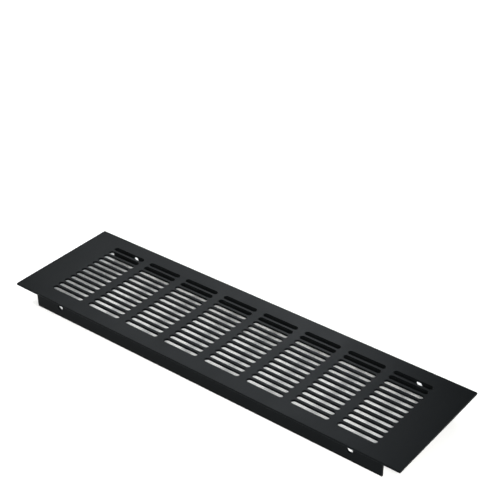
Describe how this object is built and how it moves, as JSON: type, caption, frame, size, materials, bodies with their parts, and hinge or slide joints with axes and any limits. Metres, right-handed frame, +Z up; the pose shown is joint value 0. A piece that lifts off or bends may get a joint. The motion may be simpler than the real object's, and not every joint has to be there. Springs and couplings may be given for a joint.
{
  "type": "air vent cover",
  "caption": "Long slotted face plate with a narrow rim and two screw-holed legs that fit inside a rectangular cut-out and let air through its rows of round-ended slots.",
  "frame": {"origin": "middle of the cover's footprint, on the plane of the lower edges of its two legs", "axes": "+X along the cover's length, +Y across it, +Z up out of the face plate"},
  "size_m": [0.286, 0.08, 0.0143],
  "materials": {
    "black_coating": "fine matte black coating on aluminium, all over"
  },
  "bodies": {
    "root": {"vent_cover": "black_coating"}
  },
  "joints": []
}
